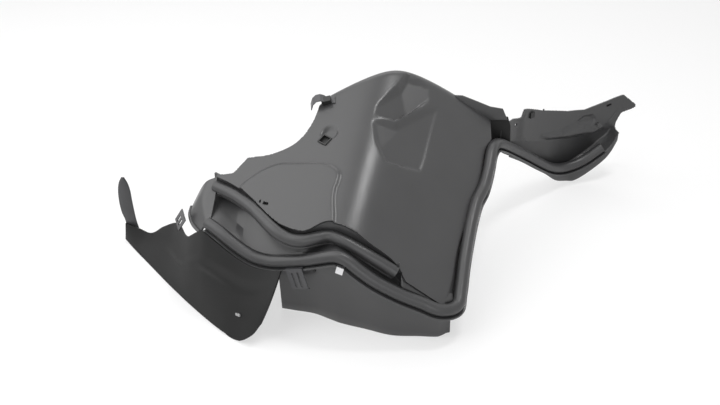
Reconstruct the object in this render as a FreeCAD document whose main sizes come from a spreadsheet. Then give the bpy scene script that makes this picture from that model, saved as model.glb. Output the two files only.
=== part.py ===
import FreeCAD
import Part
import Sketcher
import math
import os

# Engine bay lower panel: a moulded partition with bulb seals, a soft flap and small clips.
# +X runs along the panel to the side arm, +Y from the skirt to the crest, +Z is up.
# Lengths are in millimetres. The panel stands on its skirt, its flap and its gutter.

Vector = FreeCAD.Vector
os.makedirs("parts", exist_ok=True)
doc = FreeCAD.newDocument("EngineBayLowerPanel")

driving = {
    "panel_wall": 2.5,
    "apex_across": 3.0,
    "apex_depth": 41.0,
    "apex_height": 221.0,
    "face_slope": 0.48,
    "ridge_lean": 0.25,
    "left_fall": 0.27,
    "right_fall": 0.76,
    "ridge_round": 24.0,
    "crest_round": 13.0,
    "crest_bow": 0.00104,
    "crest_skew": 0.233,
    "crest_return": 16.0,
    "pad_rise": 1.8,
    "pocket_depth": 9.0,
    "dimple_bore": 17.0,
    "dimple_depth": 4.0,
    "insert_hole": 9.0,
    "seal_bore": 14.0,
    "seal_clearance": 0.2,
    "ledge_drop": 24.0,
    "lip_reach": 8.0,
    "flap_sheet": 3.2,
    "flap_gap": 0.2,
    "arm_wall": 2.5,
    "arm_hole": 5.6,
    "plug_side": 8.0,
    "plug_head": 1.4,
    "plug_shank": 6.0,
    "plug_deep": 5.0,
    "insert_bore": 4.2,
    "insert_deep": 6.0,
    "pin_bore": 2.4,
    "post_bore": 5.0,
    "stud_bore": 4.0,
    "stud_head": 1.2,
    "stud_shank": 2.6,
    "stud_deep": 5.0,
    "clip_steel": 1.0,
    "clip_seat": 0.2,
    "crest_clip_width": 11.0,
    "lip_clip_width": 8.0,
    "lip_clip_drop": 8.0,
    "flap_clip_width": 20.0,
    "flap_clip_drop": 25.0,
    "corner_clip_width": 15.0,
    "corner_clip_drop": 30.0,
    "clip_slot": 2.4,
}

sizes = doc.addObject("Spreadsheet::Sheet", "Sizes")
for row, (name, value) in enumerate(driving.items(), 1):
    sizes.set("A%d" % row, name)
    sizes.set("B%d" % row, str(value))
    sizes.setAlias("B%d" % row, name)
doc.recompute()


def size(name):
    return float(sizes.get(name))


wall = size("panel_wall")
seal_radius = size("seal_bore") / 2
seat = size("seal_clearance")
arm_wall = size("arm_wall")

# Outlines in plan and in space, each measured from the same datum as the apex.
left_cut = [(-86, 13), (-94.5, -15.7), (-106.7, -35.4), (-120, -45.4), (-144, -50.3), (-170, -47.4)]
left_tip = [(-186, -64), (-209.5, -60.5)]
ledge_edge = [(-209.5, -60.5), (-180, -84), (-160, -107), (-131, -142.5), (-113, -155), (-99.5, -159.5),
              (-75, -152.5), (-47, -161.5), (-31, -168), (-3, -174), (8, -186)]
right_edge = [(50, -188), (61, -157), (68, -126), (82, -85), (90, -60), (101, -33), (111, 9), (119, 28)]
seal_line = [(-212, -110, 100), (-198, -122, 97), (-184, -132, 90.5), (-170, -140, 83.5), (-155.5, -147, 79),
             (-138.5, -153, 78.5), (-122.5, -159, 82.5), (-103.5, -166, 88.5), (-85, -173, 96.5),
             (-67, -179, 103), (-55, -182.5, 100), (-42, -187, 90.5), (-23, -191, 77.3), (3, -193, 62.4),
             (26, -193.5, 51.6), (45, -195, 43.7)]
side_line = [(64.5, -183, 39.5), (70, -165, 47), (76, -134, 63.4), (82, -108, 76), (88, -85, 87.3),
             (96, -60, 97.8), (105.5, -40, 104), (114, -14, 115), (121, 12, 128)]
gutter_line = [(131, 33, 124), (160, 69, 95), (182, 90, 74), (203, 108, 54), (223, 125, 37), (242, 140, 28),
               (259, 147, 29), (276, 153, 35), (299, 160, 50)]
ledge_line = [(-207, -66, 121.5), (-185, -84, 121.5), (-162, -109, 120.5), (-134, -147, 115.6),
              (-118, -157.5, 111), (-103, -161.5, 111), (-88, -159, 112.5), (-74, -155, 112.5),
              (-59, -161, 110), (-44, -167, 104.4), (-27.5, -173, 96.6), (-9, -176.5, 85), (-2.5, -178, 81)]
skirt_foot = [(-132, -139), (-93, -149), (-63, -166), (-6, -187), (51, -190)]
plate_line = [(124, 38), (143, 61), (160, 82), (178, 105), (204, 127), (244, 153.5), (270, 167), (300, 178),
              (325, 183), (344, 180)]


def spline(points):
    curve = Part.BSplineCurve()
    curve.interpolate([Vector(*p) for p in points])
    return curve.toShape()


def flat(points, height=0.0):
    return [(x, y, height) for x, y in points]


def polygon(points):
    corners = [Vector(*p) for p in points]
    return Part.makePolygon(corners + corners[:1])


def prism(points, low, high):
    face = Part.Face(polygon(flat(points, low)))
    return face.extrude(Vector(0, 0, high - low))


def value_at(points, x, column):
    # straight interpolation along a line of points, read by x
    for first, second in zip(points, points[1:]):
        if x <= second[0]:
            break
    share = (x - first[0]) / (second[0] - first[0])
    return first[column] + share * (second[column] - first[column])


def face_height(x, y):
    # two slopes that meet in a rounded ridge, which leans to the left towards the skirt
    ridge = size("apex_across") + size("ridge_lean") * (y - size("apex_depth"))
    across = x - ridge
    skew = (size("right_fall") - size("left_fall")) / 2
    spread = (size("right_fall") + size("left_fall")) / 2
    rounding = size("ridge_round")
    fall = skew * across + spread * (math.hypot(across, rounding) - rounding)
    return size("apex_height") - size("face_slope") * (size("apex_depth") - y) - fall


def face_point(x, y, lift=0.0):
    return Vector(x, y, face_height(x, y) + lift)


def face_normal(x, y):
    step = 0.5
    along_x = face_point(x + step, y) - face_point(x - step, y)
    along_y = face_point(x, y + step) - face_point(x, y - step)
    return along_x.cross(along_y).normalize()


def crest_depth(x):
    across = x - size("apex_across")
    return size("apex_depth") + size("crest_skew") * across - size("crest_bow") * across ** 2


def face_section(x, front, thickness):
    # one thin closed section across the panel: face, rolled crest and back return
    roll = size("crest_round")
    steps = 4
    back = crest_depth(x) - roll * 0.6
    outer = []
    inner = []
    for step in range(steps + 1):
        y = front + (back - front) * step / steps
        slope = (face_height(x, y + 0.5) - face_height(x, y - 0.5))
        into = Vector(0, slope, -1).normalize()
        outer.append(face_point(x, y))
        inner.append(face_point(x, y) + into * thickness)
    centre = outer[-1] + into * roll
    rise = (Vector(0, 1, 0) - into).normalize()
    low = Vector(0, 0, -size("crest_return"))
    edges = [spline([tuple(p) for p in outer])]
    edges.append(Part.Arc(outer[-1], centre + rise * roll, centre + Vector(0, roll, 0)).toShape())
    outer_back = centre + Vector(0, roll, 0)
    inner_back = centre + Vector(0, roll - thickness, 0)
    edges.append(Part.makeLine(outer_back, outer_back + low))
    edges.append(Part.makeLine(outer_back + low, inner_back + low))
    edges.append(Part.makeLine(inner_back + low, inner_back))
    edges.append(Part.Arc(inner_back, centre + rise * (roll - thickness), inner[-1]).toShape())
    edges.append(spline([tuple(p) for p in reversed(inner)]))
    edges.append(Part.makeLine(inner[0], outer[0]))
    return Part.Wire(edges)


def face_sheet(thickness):
    stations = [-216, -182, -148, -115, -85, -57, -30, -3, 24, 55, 87, 120, 152]
    wires = [face_section(x, -212.0, thickness) for x in stations]
    return Part.makeLoft(wires, True, False)


def plan_outline(low, high):
    # the face as seen from above, cut out of the sheet
    corner_back = (left_cut[0][0], crest_depth(left_cut[0][0]) + 40)
    flange_back = (144, crest_depth(144) + 40)
    flange_front = (144, crest_depth(144) - 16)
    flange_inner = (124, crest_depth(124) - 18)
    edges = [Part.makeLine(Vector(*corner_back, low), Vector(*left_cut[0], low))]
    edges.append(spline(flat(left_cut, low)))
    edges.append(Part.makeLine(Vector(*left_cut[-1], low), Vector(*left_tip[0], low)))
    edges.append(Part.makeLine(Vector(*left_tip[0], low), Vector(*left_tip[1], low)))
    edges.append(spline(flat(ledge_edge, low)))
    edges.append(Part.makeLine(Vector(*ledge_edge[-1], low), Vector(*right_edge[0], low)))
    edges.append(spline(flat(right_edge, low)))
    edges.append(Part.makeLine(Vector(*right_edge[-1], low), Vector(*flange_inner, low)))
    edges.append(Part.makeLine(Vector(*flange_inner, low), Vector(*flange_front, low)))
    edges.append(Part.makeLine(Vector(*flange_front, low), Vector(*flange_back, low)))
    edges.append(Part.makeLine(Vector(*flange_back, low), Vector(*corner_back, low)))
    return Part.Face(Part.Wire(edges)).extrude(Vector(0, 0, high - low))


def ground(three, reach=260.0, deep=260.0):
    # everything below the plane through three points
    first, second, third = [Vector(*p) for p in three]
    normal = (second - first).cross(third - first)

    def plane_height(x, y):
        return first.z - (normal.x * (x - first.x) + normal.y * (y - first.y)) / normal.z

    corners = [(-reach, -reach), (reach, -reach), (reach, reach), (-reach, reach)]
    top = Part.Face(polygon([(x, y, plane_height(x, y)) for x, y in corners]))
    return top.extrude(Vector(0, 0, -deep))


def grown(points, margin):
    # the same plan outline, moved outwards from its middle
    middle_x = sum(p[0] for p in points) / len(points)
    middle_y = sum(p[1] for p in points) / len(points)
    moved = []
    for x, y in points:
        out = Vector(x - middle_x, y - middle_y, 0)
        share = 1 + margin / out.Length
        moved.append((middle_x + out.x * share, middle_y + out.y * share))
    return moved


def recessed(sheet, block, outline, floor):
    # press a recess into the sheet: a thin tray under the face, open at the top
    lowered = floor.copy()
    lowered.translate(Vector(0, 0, -wall))
    tray = block.common(prism(grown(outline, wall * 1.3), 20, 300)).cut(lowered)
    return sheet.fuse(tray).cut(prism(outline, 20, 300).cut(floor))


def thin_section(place, near, shift):
    # a closed band: the near side out and the shifted far side back
    far = [(a + da, b + db) for (a, b), (da, db) in zip(near, shift)]
    return polygon([place(a, b) for a, b in near + far[::-1]])


def frames(points):
    # at each point of a line: the point, the level direction outwards and the upward direction
    found = []
    last = len(points) - 1
    for k, point in enumerate(points):
        before = Vector(*points[max(k - 1, 0)])
        after = Vector(*points[min(k + 1, last)])
        along = (after - before).normalize()
        side = along.cross(Vector(0, 0, 1)).normalize()
        found.append((Vector(*point), side, side.cross(along)))
    return found


def rounded_path(points):
    # straight runs joined by tangent arcs
    route = [Vector(*p) for p in points]
    edges = []
    start = route[0]
    for before, corner, after in zip(route, route[1:], route[2:]):
        into = corner - before
        away = after - corner
        reach = 0.45 * min(into.Length, away.Length)
        enter = corner - into.normalize() * reach
        leave = corner + away.normalize() * reach
        middle = (enter + leave) * 0.5
        turn = into.getAngle(away)
        sagitta = reach / math.tan(turn / 2) * (1 / math.cos(turn / 2) - 1)
        bulge = corner - middle
        peak = corner - bulge.normalize() * sagitta
        edges.append(Part.makeLine(start, enter))
        edges.append(Part.Arc(enter, peak, leave).toShape())
        start = leave
    edges.append(Part.makeLine(start, route[-1]))
    return Part.Wire(edges)


def bulb(points, radius):
    path = rounded_path(points)
    first = Vector(*points[0])
    ring = Part.Wire([Part.makeCircle(radius, first, Vector(*points[1]) - first)])
    return path.makePipeShell([ring], True, True)


def seal_rail(points, inner, outer):
    # ledge under a bulb; the bulb's own groove is cut into it afterwards
    top = seal_radius - 0.8
    low = seal_radius + wall - 0.5
    wires = []
    for centre, side, up in frames(points):
        corners = [(-inner, -top), (outer, -top), (outer, -low), (-inner, -low)]
        wires.append(polygon([centre + side * s + up * u for s, u in corners]))
    return Part.makeLoft(wires, True, True)


def square_prism(place, up, along, side, deep):
    # square bar through a surface, centred on the place
    across = up.cross(along).normalize()
    along = across.cross(up)
    corners = [(-1, -1), (1, -1), (1, 1), (-1, 1)]
    points = [place - up * deep + (along * a + across * b) * side / 2 for a, b in corners]
    return Part.Face(polygon(points)).extrude(up * deep * 2)


def main_face():
    sheet = face_sheet(wall)
    block = face_sheet(size("crest_round") - 1)
    raised = sheet.copy()
    raised.translate(Vector(-0.1, -0.43, 0.9).normalize() * size("pad_rise"))
    sheet = sheet.fuse(raised.common(prism(pad_outline, 20, 300)))

    deep = size("pocket_depth")
    left_floor = [(-26, -19, 190 - deep * 0.5), (7, 20, 208 - deep), (14, -8, 190 - deep)]
    right_floor = [(7, 20, 208 - deep), (44, 34, 194 - deep * 0.6), (18, -2, 188 - deep)]
    sheet = recessed(sheet, block, pocket_outline, ground(left_floor).fuse(ground(right_floor)))

    left_floor = [(-26.5, -31, 188), (-12, -74, 159), (20, -8, 182)]
    right_floor = [(53, 22, 180), (28, -64, 140), (20, -8, 182)]
    sheet = recessed(sheet, block, facet_outline, ground(left_floor).common(ground(right_floor)))

    # round dimple with the square hole of the insert beside it
    dimple = size("dimple_bore") / 2
    up = face_normal(*dimple_place)
    foot = face_point(*dimple_place) - up * (size("dimple_depth") + wall)
    sheet = sheet.fuse(Part.makeCylinder(dimple + wall, size("dimple_depth") + wall, foot, up))
    sheet = sheet.cut(Part.makeCylinder(dimple, 30, foot + up * wall, up))
    up = face_normal(*insert_place)
    sheet = sheet.cut(square_prism(face_point(*insert_place), up, insert_along, size("insert_hole"), 12))
    return sheet.common(plan_outline(-20, 300))


def seal_slope(points, x):
    # how much longer a section across the bulb is when it is cut at constant x
    for first, second in zip(points, points[1:]):
        if x <= second[0]:
            break
    run = second[0] - first[0]
    level = math.hypot(run, second[1] - first[1])
    steep = math.hypot(run, second[2] - first[2])
    return level / run, steep / run


def channel():
    # ledge wall under the face, sloping channel and the step behind the long seal
    wires = []
    for x in channel_stations:
        edge = value_at(ledge_edge, x, 1)
        seal_y = value_at(seal_line, x, 1)
        seal_z = value_at(seal_line, x, 2)
        level, steep = seal_slope(seal_line, x)
        top = face_height(x, edge + 5) - wall * 0.6
        low = max(top - size("ledge_drop"), seal_z + 4)
        step = seal_y + (seal_radius + 1.2) * level
        near = [(edge + 5, top), (edge + 5, low), (step, seal_z + 2), (step, seal_z - (seal_radius + 0.5) * steep)]
        shift = [(wall, 0), (wall, -wall), (wall, -wall), (wall, 0)]
        wires.append(thin_section(lambda y, z: (x, y, z), near, shift))
    return Part.makeLoft(wires, True, True)


def skirt():
    # the wall that stands on the floor, from the seal's ledge down
    line = seal_line + side_line
    wires = []
    for x in skirt_stations:
        top_y = value_at(line, x, 1) - 2
        top_z = value_at(line, x, 2) - seal_radius - wall * 0.5
        foot_y = value_at(skirt_foot, x, 1)
        near = [(top_y, top_z), (foot_y, 0)]
        wires.append(thin_section(lambda y, z: (x, y, z), near, [(wall, 0), (wall, 0)]))
    return Part.makeLoft(wires, True, True)


def skirt_point(x, z):
    # a point on the front of the skirt
    line = seal_line + side_line
    top_y = value_at(line, x, 1) - 2
    top_z = value_at(line, x, 2) - seal_radius - wall * 0.5
    foot_y = value_at(skirt_foot, x, 1)
    return Vector(x, foot_y + (top_y - foot_y) * z / top_z, z)


def skirt_out(x):
    along = skirt_point(x + 1, 40) - skirt_point(x - 1, 40)
    rise = skirt_point(x, 41) - skirt_point(x, 40)
    return along.cross(rise).normalize()


def corner_step():
    # the step carried on under the bottom edge of the face to the lower right corner
    line = seal_line + side_line
    wires = []
    for x in corner_stations:
        seal_y = value_at(line, x, 1)
        seal_z = value_at(line, x, 2)
        step = seal_y + seal_radius + 0.5
        near = [(seal_y + 17, face_height(x, seal_y + 17) - wall * 0.5), (step, seal_z + 3),
                (step, seal_z - seal_radius - 0.2)]
        shift = [(0, 0.5 - wall), (wall, -wall), (wall, 0)]
        wires.append(thin_section(lambda y, z: (x, y, z), near, shift))
    return Part.makeLoft(wires, True, True)


def side_step():
    # joggle under the right edge of the face
    wires = []
    for centre, side, up in frames(side_line):
        root = centre - side * 14
        drop = face_height(root.x, root.y) - wall * 0.5 - centre.z
        near = [(-14, drop), (-seal_radius - 1.2, 1), (-seal_radius - 1.2, -seal_radius - 0.5)]
        shift = [(0, -wall), (-wall, -wall), (-wall, 0)]
        place = lambda s, z: tuple(centre + side * s + Vector(0, 0, z))
        wires.append(thin_section(place, near, shift))
    return Part.makeLoft(wires, True, True)


def shoulder():
    # rounded left end of the channel, from the ledge down to the rim
    rows = [Part.Wire([spline(points)]) for points in shoulder_rows]
    face = Part.makeLoft(rows, False, False)
    return face.extrude(Vector(0.5, 0.3, -0.81) * wall)


def crest_flange():
    # flat tongue that stands on the right end of the crest
    base = crest_depth(120) - 4
    face = Part.Face(polygon([(x, base, z) for x, z in flange_outline]))
    return face.extrude(Vector(0, wall, 0))


def plate_frame(x):
    # point on the arm plate and its outward direction, both in plan
    here = Vector(x, value_at(plate_line, x, 1), 0)
    ahead = Vector(x + 6, value_at(plate_line, min(x + 6, plate_line[-1][0]), 1), 0)
    behind = Vector(x - 6, value_at(plate_line, max(x - 6, plate_line[0][0]), 1), 0)
    along = (ahead - behind).normalize()
    return here, Vector(along.y, -along.x, 0), along


def arm_plate():
    wires = []
    for x in plate_stations:
        here, out, along = plate_frame(x)
        near = [(0, 0), (0, 160)]
        shift = [(-arm_wall, 0), (-arm_wall, 0)]
        wires.append(thin_section(lambda s, z: tuple(here + out * s + Vector(0, 0, z)), near, shift))
    outline = Part.Face(polygon([(x, 0, z) for x, z in plate_outline])).extrude(Vector(0, 260, 0))
    return Part.makeLoft(wires, True, True).common(outline)


def crossing(points, here, along):
    # where a line of points passes the upright plane through here, square to along
    for first, second in zip(points, points[1:]):
        before = (Vector(*first) - here).dot(along)
        after = (Vector(*second) - here).dot(along)
        if before <= 0 <= after:
            break
    share = before / (before - after)
    return Vector(*first) + (Vector(*second) - Vector(*first)) * share


def gutter():
    # wall below the nose of the plate, trough floor and the turned-down front edge
    wires = []
    line = side_line + gutter_line
    rim = seal_radius + 6
    for x, nose, bottom in gutter_stations:
        here, out, along = plate_frame(x)
        seal = crossing(line, here, along)
        reach = (seal - here).dot(out)
        high = max(nose, seal.z + 2)
        under = seal.z - (seal_radius + 0.5) * 1.15
        near = [(0, high + 4), (0, high), (-4, high - 5), (-4, min(seal.z - 3, high - 8)),
                (reach - 7, under), (reach + 5, under), (reach + 5, min(bottom, under - wall - 2))]
        shift = [(-arm_wall, 0), (-arm_wall, 0), (-arm_wall, 0), (-arm_wall, -arm_wall), (0, -arm_wall),
                 (-arm_wall, -arm_wall), (-arm_wall, 0)]
        wires.append(thin_section(lambda s, z: tuple(here + out * s + Vector(0, 0, z)), near, shift))
    return Part.makeLoft(wires, True, True)


def arm():
    solid = arm_plate().fuse(gutter())
    hole = Vector(*arm_hole_place)
    out = plate_frame(hole.x)[1]
    solid = solid.cut(Part.makeCylinder(size("arm_hole") / 2, 20, hole - out * 10, out))
    plug = Vector(*plug_place)
    out = plate_frame(plug.x)[1]
    solid = solid.cut(square_prism(plug, out, Vector(0, 0, 1), size("plug_shank") + 2 * seat, 8))
    post = Vector(*post_place)
    out = plate_frame(post.x)[1]
    solid = solid.fuse(Part.makeCylinder(size("post_bore") / 2, 8, post - out * 1, out))
    return solid.fuse(Part.makeCylinder(size("pin_bore") / 2, 4, Vector(*pin_place) - Vector(0, 0, 2)))


def panel_moulding():
    room = bulb(seal_line + side_line + gutter_line, seal_radius + seat)
    ledge_room = bulb(ledge_line, seal_radius + seat)
    solid = main_face().cut(room).cut(ledge_room)
    parts = [channel(), corner_step(), skirt(), side_step(), shoulder(), arm(), crest_flange(),
             seal_rail(ledge_line, 10.5, 3),
             seal_rail(seal_line + side_line + gutter_line, seal_radius + 1.2 + wall, size("lip_reach"))]
    for part in parts:
        solid = solid.fuse(part.cut(room).cut(ledge_room))
    up = skirt_out(stud_place[0])
    stud_hole = Part.makeCylinder(size("stud_shank") / 2 + seat, 10, skirt_point(*stud_place) - up * 5, up)
    return solid.cut(stud_hole)


def splash_flap():
    upper = [(-337, 0, 28), (-320, -6, 24), (-302, -14, 22), (-283, -24, 38), (-261, -43, 56), (-240, -92, 70)]
    hang = size("lip_reach") + size("flap_gap")
    for centre, side, up in frames(seal_line)[:7]:
        edge = centre + side * hang - up * (seal_radius - 0.3)
        upper.append(tuple(edge))
    face = Part.makeRuledSurface(spline(flap_foot), spline(upper))
    out = Vector(-0.775, -0.632, 0) * size("flap_sheet")
    sheet = face.extrude(out)
    tongue = Part.Face(polygon([(x, 0, z) for x, z in tongue_outline]))
    sheet = sheet.fuse(tongue.extrude(Vector(0, size("flap_sheet"), 0)))
    return sheet.common(Part.makeBox(400, 400, 200, Vector(-400, -300, 0)))


pad_outline = [(-186, -97), (-170, -81), (-148, -70), (-131, -68), (-114, -72), (-77, -82), (-66, -92),
               (-64, -100), (-69, -118), (-74, -170), (-120, -190), (-180, -150)]
pocket_outline = [(-28, -18), (5, 20), (14, 37), (30, 38), (45, 37), (42, 22), (19, -3), (-1, -23), (-23, -23)]
facet_outline = [(-27, -30), (-23, -56), (-12, -75), (8, -71), (28, -65), (33, -52), (40, -26), (53, 22),
                 (22, -6), (0, -28)]
dimple_place = (-75.4, -38.5)
insert_place = (-81, -47.5)
insert_along = Vector(0.7, 0.7, 0)
channel_stations = [-209, -198, -184, -170, -155, -138, -120, -103, -85, -67, -55, -42, -23, -5, 8]
skirt_stations = [-131, -115, -93, -75, -63, -35, -6, 25, 45, 58]
corner_stations = [3, 18, 32, 45, 53, 61]
shoulder_rows = [[(-206, -58, 130), (-206, -74, 119), (-210, -106, 100)],
                 [(-221, -54, 120), (-223, -72, 112), (-217, -106, 94)],
                 [(-237, -50, 92), (-240, -74, 86), (-223, -104, 83)]]
flange_outline = [(68, 182), (85, 181), (104, 173), (120, 166), (136, 163), (143, 150), (146, 138),
                  (144, 122), (110, 138), (90, 160), (72, 170)]
plate_stations = [124, 134, 143, 160, 178, 191, 204, 224, 244, 270, 285, 300, 312, 325, 344]
plate_outline = [(125, 126), (143, 136), (156, 136), (170, 128.5), (173, 138), (178, 136.5), (204, 123),
                 (244, 109), (270, 104.5), (286, 108), (300, 111.5), (325, 120), (343.5, 106.5),
                 (343.5, 102), (325.4, 92), (320, 77.5), (320, 70), (300, 69), (276, 64), (242, 66),
                 (223, 70), (200, 78), (182, 86), (160, 101), (140, 112), (125, 116)]
gutter_stations = [(140, 116, 100), (160, 103, 78), (182, 88, 52), (203, 79, 34), (223, 72, 16), (242, 68, 8),
                   (254, 66, 6), (276, 66, 16), (298, 71, 32)]
arm_hole_place = (160.2, 82.2, 124.7)
plug_place = (185.5, 111, 124.6)
crest_clip_place = (-77, 6)
corner_clip_place = (-245, -79, 91)
corner_clip_up = Vector(15, -17, 28).normalize()
corner_clip_out = Vector(-0.85, -0.5, 0.15)
stud_place = (-90, 79)
post_place = (290, 174.5, 81)
pin_place = (204.7, 127, 123)
flap_foot = [(-341, 3, 0), (-326, -18, 0), (-293, -61, 0), (-261, -103, 0), (-226, -144, 0), (-193, -180, 0),
             (-176, -194, 0), (-158, -201, 14), (-147, -198, 27)]
tongue_outline = [(-341, 0), (-337, 28), (-343, 56), (-341, 79), (-333, 96), (-326, 88), (-326, 67),
                  (-325, 44), (-324, 31), (-321, 0)]


nodes = {}


def add_feature(name, shape):
    feature = doc.addObject("Part::Feature", name)
    feature.Label = name
    feature.Shape = shape
    nodes[name] = feature


def plane_of(body, role):
    for feature in body.Origin.OriginFeatures:
        if feature.Role == role:
            return feature


def new_sketch(body, role="XY_Plane"):
    sketch = body.newObject("Sketcher::SketchObject", "Sketch")
    sketch.AttachmentSupport = [(plane_of(body, role), "")]
    sketch.MapMode = "FlatFace"
    return sketch


def bind(sketch, number, expression):
    sketch.setExpression("Constraints[%d]" % number, expression)


def rectangle(sketch, across, high, left=None, low=None):
    # a rectangle sized by the sheet, with the datum at the given distance from its left and lower sides
    corners = [Vector(-5, -5, 0), Vector(5, -5, 0), Vector(5, 5, 0), Vector(-5, 5, 0)]
    for first, second in zip(corners, corners[1:] + corners[:1]):
        sketch.addGeometry(Part.LineSegment(first, second), False)
    for k in range(4):
        sketch.addConstraint(Sketcher.Constraint("Coincident", k, 2, (k + 1) % 4, 1))
    for k in range(4):
        sketch.addConstraint(Sketcher.Constraint(["Horizontal", "Vertical"][k % 2], k))
    bind(sketch, sketch.addConstraint(Sketcher.Constraint("DistanceX", 0, 1, 0, 2, 10)), across)
    bind(sketch, sketch.addConstraint(Sketcher.Constraint("DistanceY", 1, 1, 1, 2, 10)), high)
    bind(sketch, sketch.addConstraint(Sketcher.Constraint("DistanceX", 0, 1, -1, 1, 5)), left or "(%s) / 2" % across)
    bind(sketch, sketch.addConstraint(Sketcher.Constraint("DistanceY", 0, 1, -1, 1, 5)), low or "(%s) / 2" % high)


def circle(sketch, diameter):
    sketch.addGeometry(Part.Circle(Vector(0, 0, 0), Vector(0, 0, 1), 3), False)
    sketch.addConstraint(Sketcher.Constraint("Coincident", 0, 3, -1, 1))
    bind(sketch, sketch.addConstraint(Sketcher.Constraint("Diameter", 0, 6)), diameter)


def raise_from(body, sketch, length, reverse=False, middle=False):
    pad = body.newObject("PartDesign::Pad", "Pad")
    pad.Profile = sketch
    pad.Reversed = reverse
    pad.Midplane = middle
    pad.setExpression("Length", length)
    doc.recompute()
    return pad


def cut_from(body, sketch, length, reverse=False, middle=False):
    pocket = body.newObject("PartDesign::Pocket", "Pocket")
    pocket.Profile = sketch
    pocket.Reversed = reverse
    pocket.Midplane = middle
    pocket.setExpression("Length", length)
    doc.recompute()
    return pocket


def stand(body, place, up, along):
    # local Z out of the surface, local X near the given direction
    across = up.cross(along).normalize()
    turn = FreeCAD.Rotation(across.cross(up), across, up, "ZXY")
    body.Placement = FreeCAD.Placement(place, turn)
    nodes[body.Label] = body


def new_body(name):
    body = doc.addObject("PartDesign::Body", name)
    body.Label = name
    return body


def strip(points, thickness, width):
    # spring steel strip bent along a line in local X and Z, centred across Y
    line = [Vector(a, -width / 2, b) for a, b in points]
    normals = []
    for first, second in zip(line, line[1:]):
        run = (second - first).normalize()
        normals.append(Vector(-run.z, 0, run.x))
    sides = []
    for k, point in enumerate(line):
        before = normals[max(k - 1, 0)]
        after = normals[min(k, len(normals) - 1)]
        middle = (before + after).normalize()
        sides.append(middle * thickness / 2 / middle.dot(after))
    near = [point + side for point, side in zip(line, sides)]
    far = [point - side for point, side in zip(line, sides)]
    outline = near + far[::-1]
    return Part.Face(Part.makePolygon(outline + outline[:1])).extrude(Vector(0, width, 0))


def slotted(shape, slots, width, low, high):
    # upright slots through a hanging strip, evenly spread across it
    for k in range(slots):
        middle = width * ((k + 1) / (slots + 1) - 0.5)
        slot = size("clip_slot")
        shape = shape.cut(Part.makeBox(60, slot, high - low, Vector(-30, middle - slot / 2, low)))
    return shape


def on_lip(name, x, width, drop, slots):
    # clip over the front edge of the lip under the long seal
    centre = Vector(x, value_at(seal_line, x, 1), value_at(seal_line, x, 2))
    ahead = Vector(x + 3, value_at(seal_line, x + 3, 1), value_at(seal_line, x + 3, 2))
    side = (ahead - centre).normalize().cross(Vector(0, 0, 1)).normalize()
    up = side.cross((ahead - centre).normalize())
    half = size("clip_steel") / 2
    top = size("clip_seat") + half - seal_radius + 0.8
    front = size("lip_reach") + size("clip_seat") + half
    points = [(5.2, top), (front, top), (front, top - drop), (front - 3, top - drop - 2)]
    shape = slotted(strip(points, size("clip_steel"), width), slots, width, top - drop + 2, top - 4)
    add_feature(name, shape)
    stand(nodes[name], centre, up, side)


def crest_clip():
    # foot on the face, hook that curls out over the left edge
    half = size("clip_steel") / 2 + size("clip_seat")
    points = [(-7, half), (2, half), (5, half + 5), (9, half + 8), (14, half + 8), (19, half + 4), (23, half - 4)]
    add_feature("crest_clip", strip(points, size("clip_steel"), size("crest_clip_width")))
    stand(nodes["crest_clip"], face_point(*crest_clip_place), face_normal(*crest_clip_place), Vector(-1, 0, -0.2))


def corner_clip():
    # slotted strip that hangs from the rim of the shoulder
    width = size("corner_clip_width")
    drop = size("corner_clip_drop")
    shape = strip([(0, 0), (0, -drop)], size("clip_steel") * 1.5, width)
    add_feature("corner_clip", slotted(shape, 2, width, 6 - drop, -9))
    stand(nodes["corner_clip"], Vector(*corner_clip_place), corner_clip_up, corner_clip_out)


def face_insert():
    body = new_body("face_insert")
    sketch = new_sketch(body)
    side = "Sizes.insert_hole - 2 * Sizes.seal_clearance"
    rectangle(sketch, side, side)
    raise_from(body, sketch, "Sizes.insert_deep", reverse=True)
    sketch = new_sketch(body)
    circle(sketch, "Sizes.insert_bore")
    cut_from(body, sketch, "Sizes.insert_deep")
    stand(body, face_point(*insert_place) + face_normal(*insert_place) * 0.4, face_normal(*insert_place), insert_along)


def gutter_plug():
    body = new_body("gutter_plug")
    sketch = new_sketch(body)
    rectangle(sketch, "Sizes.plug_side", "Sizes.plug_side")
    raise_from(body, sketch, "Sizes.plug_head")
    sketch = new_sketch(body)
    rectangle(sketch, "Sizes.plug_shank", "Sizes.plug_shank")
    raise_from(body, sketch, "Sizes.plug_deep", reverse=True)
    here, out, along = plate_frame(plug_place[0])
    stand(body, here + out * size("seal_clearance") + Vector(0, 0, plug_place[2]), out, along)


def skirt_stud():
    body = new_body("skirt_stud")
    sketch = new_sketch(body)
    circle(sketch, "Sizes.stud_bore")
    raise_from(body, sketch, "Sizes.stud_head")
    sketch = new_sketch(body)
    circle(sketch, "Sizes.stud_shank")
    raise_from(body, sketch, "Sizes.stud_deep", reverse=True)
    up = skirt_out(stud_place[0])
    stand(body, skirt_point(*stud_place) + up * size("seal_clearance"), up, Vector(1, 0, 0))


face_insert()
gutter_plug()
skirt_stud()
on_lip("lip_clip", -58, size("lip_clip_width"), size("lip_clip_drop"), 0)
on_lip("flap_clip", -111, size("flap_clip_width"), size("flap_clip_drop"), 2)
crest_clip()
corner_clip()
add_feature("panel_moulding", panel_moulding())
add_feature("edge_seal", bulb(seal_line + side_line + gutter_line, seal_radius))
add_feature("ledge_seal", bulb(ledge_line, seal_radius))
add_feature("splash_flap", splash_flap())
doc.recompute()

# the datum goes to the middle of the outer box, at the floor
box = FreeCAD.BoundBox()
for node in nodes.values():
    box.add(node.Shape.optimalBoundingBox(True, False))
shift = Vector(-box.Center.x, -box.Center.y, -box.ZMin)
for node in nodes.values():
    placement = node.Placement
    placement.Base = placement.Base + shift
    node.Placement = placement
doc.recompute()
print("datum moved by", shift)

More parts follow.
